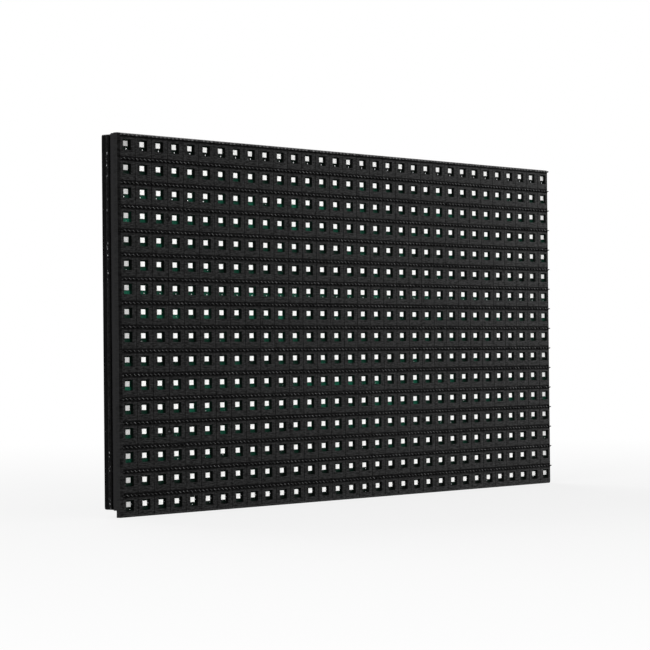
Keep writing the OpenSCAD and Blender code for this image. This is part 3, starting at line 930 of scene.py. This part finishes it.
# Stray dots: share of the lamps that have one, its place and radius, and its height to that radius
STRAY_SEED = 7
STRAY_SHARE = 0.1
STRAY_ACROSS = (-0.3 * MM, 2.4 * MM)
STRAY_UP = (-2.5 * MM, -1.6 * MM)
STRAY_R = (0.12 * MM, 0.26 * MM)
STRAY_HEIGHT = 0.6
PIN_DOT_R = 0.6 * MM
PIN_DOT_H = 0.3 * MM


def solder_dot(verts, faces, x, z, radius, height, stretch=1.0):
    """A low dome on the board's front, taller than wide by a stretch."""
    first = len(verts)
    for share, rise in DOT_RINGS:
        verts += ring(x, board_low.y - height * rise, z, radius * share, DOT_SIDES, stretch)
    verts.append((x, board_low.y - height, z))
    second = first + DOT_SIDES
    top = second + DOT_SIDES
    faces.append(tuple(reversed(range(first, second))))
    for k in range(DOT_SIDES):
        m = (k + 1) % DOT_SIDES
        faces.append((first + k, first + m, second + m, second + k))
        faces.append((second + k, second + m, top))


def stray_dots(verts, faces):
    dice = random.Random(STRAY_SEED)
    for c in range(COLUMNS):
        for r in range(ROWS):
            if dice.random() < STRAY_SHARE:
                at = (dice.uniform(*STRAY_ACROSS), dice.uniform(*STRAY_UP))
                radius = dice.uniform(*STRAY_R)
                solder_dot(verts, faces, *lamp_place(c, r, at), radius, radius * STRAY_HEIGHT)


def solder_dots():
    verts = []
    faces = []
    for row, columns, at, radius, height, stretch in DOT_ROWS:
        for c in columns:
            solder_dot(verts, faces, *lamp_place(c, row, at), radius, height, stretch)
    stray_dots(verts, faces)
    add_piece("solder_dots", verts, faces, "tin")


def shows_in_window(at):
    """Whether a contact's end, or its edge, lies behind the opening of a window."""
    across = abs(at.x / PITCH % 1 - 0.5) * PITCH
    up = abs(at.z / PITCH % 1 - 0.5) * PITCH
    return across < WINDOW_W / 2 + PIN_DOT_R and up < WINDOW_H / 2 + PIN_DOT_R


def pin_solder():
    """Dull solder over the ends of the header contacts that show through windows."""
    verts = []
    faces = []
    for node in ("input_header_pins", "output_header_pins"):
        for pin in islands(node):
            at = middle(pin)
            if shows_in_window(at):
                solder_dot(verts, faces, at.x, at.z, PIN_DOT_R, PIN_DOT_H)
    add_piece("pin_solder", verts, faces, "tin", look="dull_solder")


solder_dots()
pin_solder()


# The board's rear: what lies on it, as places across and up

REAR_Y = board_high.y
X_AXIS = 0
Z_AXIS = 2
CAP_GROW = 0.03 * MM
CAP_SHARE = 0.2


def end_caps(name, node, axis):
    """Tinned ends of a chip resistor or capacitor, a little larger than its body."""
    below = Vector((CAP_GROW, 0, CAP_GROW))
    above = Vector((CAP_GROW, CAP_GROW, CAP_GROW))
    boxes = []
    for low, high in islands(node):
        bare = Vector((0, 0, 0))
        bare[axis] = (high[axis] - low[axis]) * (1 - CAP_SHARE)
        boxes.append((low - below, high - bare + above))
        boxes.append((low + bare - below, high + above))
    add_boxes(name, boxes, "tin")


end_caps("resistor_ends", "column_resistors", Z_AXIS)
end_caps("bypass_ends", "bypass_capacitors", X_AXIS)

CHIPS = {
    "shift_registers": "shift_register_leads",
    "line_buffers": "line_buffer_leads",
    "row_decoder": "row_decoder_leads",
    "row_switches": "row_switch_leads",
}
PAD_H = 0.04 * MM
PAD_W = 0.62 * MM
PAD_TOE = 0.4 * MM
PAD_HEEL = 0.8 * MM
FILLET_W = 0.44 * MM
FILLET_H = 0.2 * MM
FILLET_TOE = 0.36 * MM
# For a lead that points down. One that points up has them the other way round
FILLET_FACES = [(0, 1, 2), (3, 5, 4), (1, 4, 5, 2), (0, 3, 4, 1), (0, 2, 5, 3)]


def lead_ends(leads, bodies):
    """For each lead: its x, the z of its foot's end and the way it points, 1 up or -1 down."""
    ends = []
    for lead in islands(leads):
        at = middle(lead)
        body = min((middle(b) for b in bodies), key=lambda m: (m - at).length)
        way = 1 if at.z > body.z else -1
        ends.append((at.x, lead[1].z if way > 0 else lead[0].z, way))
    return ends


CHIP_BODIES = {body: islands(body) for body in CHIPS}
LEADS = {body: lead_ends(leads, CHIP_BODIES[body]) for body, leads in CHIPS.items()}


def lead_fillet(verts, faces, x, end, way):
    """Solder drawn up the end of a lead's foot."""
    first = len(verts)
    for across in (x - FILLET_W / 2, x + FILLET_W / 2):
        verts += [
            (across, REAR_Y + PAD_H, end), (across, REAR_Y + FILLET_H, end),
            (across, REAR_Y + PAD_H, end + way * FILLET_TOE),
        ]
    faces += [tuple(first + k for k in face[::-way]) for face in FILLET_FACES]


def lead_pads():
    """A tinned pad under each foot, and the solder at its end."""
    boxes = []
    verts = []
    faces = []
    for x, end, way in (lead for leads in LEADS.values() for lead in leads):
        z0, z1 = sorted((end - way * PAD_HEEL, end + way * PAD_TOE))
        boxes.append(((x - PAD_W / 2, REAR_Y, z0), (x + PAD_W / 2, REAR_Y + PAD_H, z1)))
        lead_fillet(verts, faces, x, end, way)
    add_boxes("lead_pads", boxes, "tin")
    add_piece("lead_fillets", verts, faces, "tin")


lead_pads()


# Tracks and vias

TRACK_W = 0.3 * MM
TRACK_H = 0.035 * MM
MITRE_LEAST = 0.5
VIA_R = 0.32 * MM
VIA_SIDES = 8
LAMP_VIA_R = 0.7 * VIA_R
LAMP_VIA_AT = (2.3 * MM, 3.1 * MM)
BUS_LINES = 5
BUS_FROM = 66.2 * MM
BUS_STEP = 0.9 * MM
BUS_HALF = 143 * MM
# Distances across from a register's middle within which its leads and its resistors lie
LEG_REACH = 6 * MM
RESISTOR_REACH = 8 * MM
# Outputs fan out from the resistors, each on a level of its own, and end in staggered vias
FAN_FROM = 49.6 * MM
FAN_STEP = 0.75 * MM
FAN_PITCH = 4.8 * MM
FAN_END = 41 * MM
FAN_STAGGER = 1.3 * MM
FAN_ENDS = 3
# Other chips have short runs to vias in steps
LEG_PITCH = 1.27 * MM
STUB = 2 * MM
STUB_STEP = 0.9 * MM
STUB_ENDS = 4


def mitred(path, half):
    """Left and right edges of a strip along a path of points."""
    points = [Vector(p) for p in path]
    edges = []
    for i, point in enumerate(points):
        before = (point - points[i - 1]).normalized() if i > 0 else None
        after = (points[i + 1] - point).normalized() if i + 1 < len(points) else None
        along = (before or after) + (after or before)
        along.normalize()
        across = Vector((-along.y, along.x))
        spread = half / max(MITRE_LEAST, along.dot(before or after))
        edges.append((point + across * spread, point - across * spread))
    return edges


def add_tracks(paths):
    """Copper strips under the solder mask, a little proud of the board."""
    verts = []
    faces = []
    for path in paths:
        first = len(verts)
        for left, right in mitred(path, TRACK_W / 2):
            verts += [
                (left.x, REAR_Y, left.y), (left.x, REAR_Y + TRACK_H, left.y),
                (right.x, REAR_Y + TRACK_H, right.y), (right.x, REAR_Y, right.y),
            ]
        sweep(verts, faces, first)
    add_piece("copper_tracks", verts, faces, "solder_mask", look="masked_copper")


def add_discs(name, places, radius):
    """Small round pads of tin on the board's rear."""
    verts = []
    faces = []
    for x, z in places:
        lathe(verts, faces, x, z, [(radius, REAR_Y), (radius, REAR_Y + PAD_H)], VIA_SIDES)
    add_piece(name, verts, faces, "tin")


def jog(x0, z0, x1, z1, way):
    """From one height to another, crossing over at 45 degrees halfway."""
    shift = abs(x1 - x0)
    bend = (z0 + z1) / 2 - way * shift / 2
    return [(x0, z0), (x0, bend), (x1, bend + way * shift), (x1, z1)]


def fan(x, inner, target, level, end, up):
    """From a resistor's inner end, along a level with its corners cut, to the place of a via."""
    cut = FAN_STEP / 2
    lean = math.copysign(cut, target - x)
    return [
        (x, inner), (x, level + up * cut), (x + lean, level),
        (target - lean, level), (target, level - up * cut), (target, end),
    ]


def register_legs(at, up):
    """The leads of the register at a place, from left to right."""
    legs = LEADS["shift_registers"]
    return sorted(leg for leg in legs if abs(leg[0] - at.x) < LEG_REACH and leg[1] * up > 0)


def register_resistors(resistors, at, up):
    """The resistors of the register at a place, from left to right."""
    near = [r for r in resistors if abs(middle(r).x - at.x) < RESISTOR_REACH and middle(r).z * up > 0]
    return sorted(near, key=lambda r: middle(r).x)


def output_tracks(paths, vias, at, up, outputs, resistors):
    """A register's outputs run through its resistors and fan out."""
    last = len(resistors) - 1
    for i, (leg, (low, high)) in enumerate(zip(outputs, resistors)):
        x = middle((low, high)).x
        outer, inner = (high.z, low.z) if up > 0 else (low.z, high.z)
        paths.append(jog(leg[0], leg[1], x, outer, -up))
        level = up * (FAN_FROM - FAN_STEP * min(i, last - i))
        target = at.x + (i - last / 2) * FAN_PITCH
        end = up * (FAN_END - FAN_STAGGER * (i % FAN_ENDS))
        paths.append(fan(x, inner, target, level, end, up))
        vias.append((target, end))


def input_tracks(paths, vias, up, inputs):
    """A register's inputs join the lines of the bus."""
    for j, leg in enumerate(inputs):
        line = up * (BUS_FROM + BUS_STEP * (j % BUS_LINES))
        paths.append([(leg[0], leg[1]), (leg[0], line)])
        vias.append((leg[0], line))


def register_tracks(paths, vias):
    resistors = islands("column_resistors")
    for body in CHIP_BODIES["shift_registers"]:
        at = middle(body)
        up = 1 if at.z > 0 else -1
        legs = register_legs(at, up)
        outputs = [leg for leg in legs if leg[2] == -up]
        inputs = [leg for leg in legs if leg[2] == up]
        output_tracks(paths, vias, at, up, outputs, register_resistors(resistors, at, up))
        input_tracks(paths, vias, up, inputs)


def bus_tracks(paths):
    for up in (-1, 1):
        for k in range(BUS_LINES):
            z = up * (BUS_FROM + BUS_STEP * k)
            paths.append([(-BUS_HALF, z), (BUS_HALF, z)])


def header_tracks(paths):
    """Lines from the contacts of the input header, all but the end ones, on to the output header."""
    inputs = [middle(pin) for pin in islands("input_header_pins")]
    outputs = [middle(pin) for pin in islands("output_header_pins")]
    start = max(p.x for p in inputs)
    end = min(p.x for p in outputs)
    heights = sorted({round(p.z, DECIMALS) for p in inputs})
    paths += [[(start, z), (end, z)] for z in heights[1:-1]]


def stub_tracks(paths, vias, chip):
    """Short runs from a chip's legs to vias set out in steps."""
    for body in CHIP_BODIES[chip]:
        at = middle(body)
        reach = body[1] - body[0]
        for x, end, way in LEADS[chip]:
            if abs(x - at.x) > reach.x / 2 or abs(end - at.z) > reach.z:
                continue
            rank = round((x - body[0].x) / LEG_PITCH)
            stop = end + way * (STUB + STUB_STEP * (rank % STUB_ENDS))
            paths.append([(x, end), (x, stop)])
            vias.append((x, stop))


def rear_tracks():
    paths = []
    vias = []
    register_tracks(paths, vias)
    bus_tracks(paths)
    header_tracks(paths)
    for chip in ("line_buffers", "row_decoder", "row_switches"):
        stub_tracks(paths, vias, chip)
    lamp_vias = [lamp_place(c, r, LAMP_VIA_AT) for c in range(COLUMNS) for r in range(ROWS)]
    add_tracks(paths)
    add_discs("rear_vias", vias, VIA_R)
    add_discs("lamp_vias", lamp_vias, LAMP_VIA_R)


rear_tracks()


# Print

INK_W = 0.2 * MM
INK_H = 0.02 * MM
INK_ROOM = 0.5 * MM
INK_DOT_OUT = 0.8 * MM
OUTLINED = ("input_header", "output_header", "power_header", "bulk_capacitor_bases", "bypass_capacitors")


def ink_line(x0, z0, x1, z1):
    half = INK_W / 2
    low = (min(x0, x1) - half, REAR_Y, min(z0, z1) - half)
    high = (max(x0, x1) + half, REAR_Y + INK_H, max(z0, z1) + half)
    return low, high


def ink_rectangle(low, high):
    """Four lines round a box that butt at the corners."""
    x0, x1 = low.x - INK_ROOM, high.x + INK_ROOM
    z0, z1 = low.z - INK_ROOM, high.z + INK_ROOM
    level = [ink_line(x0, z, x1, z) for z in (z0, z1)]
    upright = [ink_line(x, z0 + INK_W, x, z1 - INK_W) for x in (x0, x1)]
    return level + upright


def ink_chip(low, high):
    """A line at each end of a chip and a dot at its first leg."""
    ends = [ink_line(x, low.z, x, high.z) for x in (low.x - INK_ROOM, high.x + INK_ROOM)]
    x = low.x - INK_DOT_OUT
    z = high.z + INK_ROOM
    return ends + [ink_line(x, z, x, z + INK_W)]


def board_ink():
    """Outlines round the parts, without letters."""
    lines = []
    for node in OUTLINED:
        for low, high in islands(node):
            lines += ink_rectangle(low, high)
    for bodies in CHIP_BODIES.values():
        for low, high in bodies:
            lines += ink_chip(low, high)
    add_boxes("board_ink", lines, "white_nylon", look="board_ink")


board_ink()


# Capacitors

CAN_SIDES = 48
CAN_ROUND = 0.5 * MM
CAN_ROUND_STEPS = 4
WAIST_RISE = 1.0 * MM
WAIST_DEPTH = 0.25 * MM
WAIST_HALF = 0.35 * MM
MARK_H = 0.02 * MM
MARK_HALF_ANGLE = math.radians(50)
MARK_STEPS = 12


def can_profile(radius, foot, top):
    """Radius and y up the side of a can: straight, drawn in at the waist, rounded at the shoulder."""
    waist = foot + WAIST_RISE
    profile = [
        (radius, foot), (radius, waist - WAIST_HALF), (radius - WAIST_DEPTH, waist),
        (radius, waist + WAIST_HALF),
    ]
    for k in range(CAN_ROUND_STEPS + 1):
        turn = math.pi / 2 * k / CAN_ROUND_STEPS
        inward = CAN_ROUND * (1 - math.cos(turn))
        profile.append((radius - inward, top - CAN_ROUND * (1 - math.sin(turn))))
    return profile


def can_mark(verts, faces, x, z, radius, top):
    """A dark segment on the left of a can's top."""
    first = len(verts)
    arc = [MARK_HALF_ANGLE * (1 - 2 * k / MARK_STEPS) for k in range(MARK_STEPS + 1)]
    for y in (top - MARK_H, top + MARK_H):
        verts += [(x - radius * math.cos(a), y, z + radius * math.sin(a)) for a in arc]
    sweep(verts, faces, first, corners=len(arc))


def capacitor_cans():
    """Aluminium cans with a rolled shoulder, a crimped waist and a dark mark on one side of the top."""
    verts = []
    faces = []
    mark_verts = []
    mark_faces = []
    for low, high in islands("bulk_capacitors"):
        at = middle((low, high))
        radius = (high.x - low.x) / 2
        lathe(verts, faces, at.x, at.z, can_profile(radius, low.y, high.y), CAN_SIDES)
        can_mark(mark_verts, mark_faces, at.x, at.z, radius - CAN_ROUND, high.y)
    cans = add_piece("capacitor_cans", verts, faces, "capacitor_can")
    for polygon in cans.data.polygons:
        polygon.use_smooth = len(polygon.vertices) == 4
    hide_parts("bulk_capacitors")
    add_piece("capacitor_marks", mark_verts, mark_faces, "capacitor_base")


capacitor_cans()


# Threads of the inserts

BORE_R = 1.5 * MM
THREAD_PITCH = 0.5 * MM
THREAD_DEPTH = 0.27 * MM
THREAD_STEPS = 24
# Corners of the ridge: radius, and place along the axis
THREAD_HALF = 0.45 * THREAD_PITCH
THREAD_RIDGE = ((BORE_R, -THREAD_HALF), (BORE_R - THREAD_DEPTH, 0.0), (BORE_R, THREAD_HALF))


def insert_threads():
    """The helical ridge of each insert's thread, standing in from its bore."""
    verts = []
    faces = []
    for low, high in islands("threaded_inserts"):
        at = middle((low, high))
        turns = int((high.y - low.y) / THREAD_PITCH) - 1
        first = len(verts)
        for i in range(turns * THREAD_STEPS + 1):
            turn = 2 * math.pi * i / THREAD_STEPS
            y = low.y + THREAD_PITCH * (i / THREAD_STEPS + 0.5)
            verts += [
                (at.x + radius * math.cos(turn), y + along, at.z + radius * math.sin(turn))
                for radius, along in THREAD_RIDGE]
        sweep(verts, faces, first, corners=len(THREAD_RIDGE))
    add_piece("insert_threads", verts, faces, "insert_brass")


insert_threads()


# Stage

WHITE = (1, 1, 1, 1)
FLOOR_TONE = (0.85, 0.85, 0.85, 1)
FLOOR_HALF = 20.0
# Distances over which the floor fades into the white backdrop, and its share of white at both ends
FLOOR_FADE = (0.2, 0.8)
FLOOR_SHOWN = (0.8, 1.0)
WORLD_SEEN = 1.0
WORLD_LIGHT = 0.35
# Lamps: place, width, height and watts
SOFTBOXES = {
    "side": {"place": (-2.0, -0.4, 0.7), "width": 0.9, "height": 0.9, "watts": 17.5},
    "sheen": {"place": (1.9, -0.8, 0.25), "width": 0.9, "height": 0.9, "watts": 9.5},
    "front": {"place": (-0.3, -1.2, 0.0), "width": 1.6, "height": 0.18, "watts": 9.3},
    "rear": {"place": (0.9, 1.6, 1.2), "width": 1.2, "height": 1.2, "watts": 20},
}


def emptied(block):
    """The node tree of a material or world, without its first nodes."""
    block.use_nodes = True
    block.node_tree.nodes.clear()
    return Tree(block.node_tree)


def seen_directly(t):
    """1 for rays from the camera, off a gloss or through glass, 0 for diffuse light."""
    rays = t.add("ShaderNodeLightPath").outputs
    bounced = t.math("MAXIMUM", rays["Is Glossy Ray"], rays["Is Transmission Ray"])
    return t.math("MAXIMUM", rays["Is Camera Ray"], bounced)


def mixed_shader(t, factor, first, second):
    """The second shader by a factor, the first for the rest."""
    mix = t.add("ShaderNodeMixShader", {"Fac": factor, 1: first.outputs[0], 2: second.outputs[0]})
    return mix.outputs[0]


def floor_material():
    """A pale floor that keeps the shadow and fades into the backdrop."""
    material = bpy.data.materials.new("floor")
    t = emptied(material)
    position = t.add("ShaderNodeNewGeometry").outputs["Position"]
    reach = t.add("ShaderNodeVectorMath", {0: position}, operation="LENGTH").outputs["Value"]
    share = t.math("MULTIPLY", seen_directly(t), t.remap(reach, FLOOR_FADE, FLOOR_SHOWN))
    diffuse = t.add("ShaderNodeBsdfDiffuse", {"Color": FLOOR_TONE})
    glow = t.add("ShaderNodeEmission", {"Color": WHITE})
    t.add("ShaderNodeOutputMaterial", {"Surface": mixed_shader(t, share, diffuse, glow)})
    return material


def add_floor():
    corners = [(x * FLOOR_HALF, y * FLOOR_HALF, cad_low.z) for x, y in ((-1, -1), (1, -1), (1, 1), (-1, 1))]
    mesh = bpy.data.meshes.new("floor")
    mesh.from_pydata(corners, [], [(0, 1, 2, 3)])
    mesh.materials.append(floor_material())
    floor = bpy.data.objects.new("floor", mesh)
    bpy.context.scene.collection.objects.link(floor)


def add_world():
    """White where it is seen, and a lower level of light on the object."""
    world = bpy.data.worlds.new("studio")
    bpy.context.scene.world = world
    t = emptied(world)
    light = t.add("ShaderNodeBackground", {"Color": WHITE, "Strength": WORLD_LIGHT})
    seen = t.add("ShaderNodeBackground", {"Color": WHITE, "Strength": WORLD_SEEN})
    t.add("ShaderNodeOutputWorld", {"Surface": mixed_shader(t, seen_directly(t), light, seen)})


def add_softbox(name, place, width, height, watts):
    data = bpy.data.lights.new(name, "AREA")
    data.shape = "RECTANGLE"
    data.size = width
    data.size_y = height
    data.energy = watts
    lamp = bpy.data.objects.new(name, data)
    bpy.context.scene.collection.objects.link(lamp)
    lamp.location = Vector(place)
    lamp.rotation_euler = (-Vector(place)).to_track_quat("-Z", "Y").to_euler()


add_floor()
add_world()
for name, softbox in SOFTBOXES.items():
    add_softbox(name, **softbox)

scene = bpy.context.scene
scene.view_settings.view_transform = "Standard"
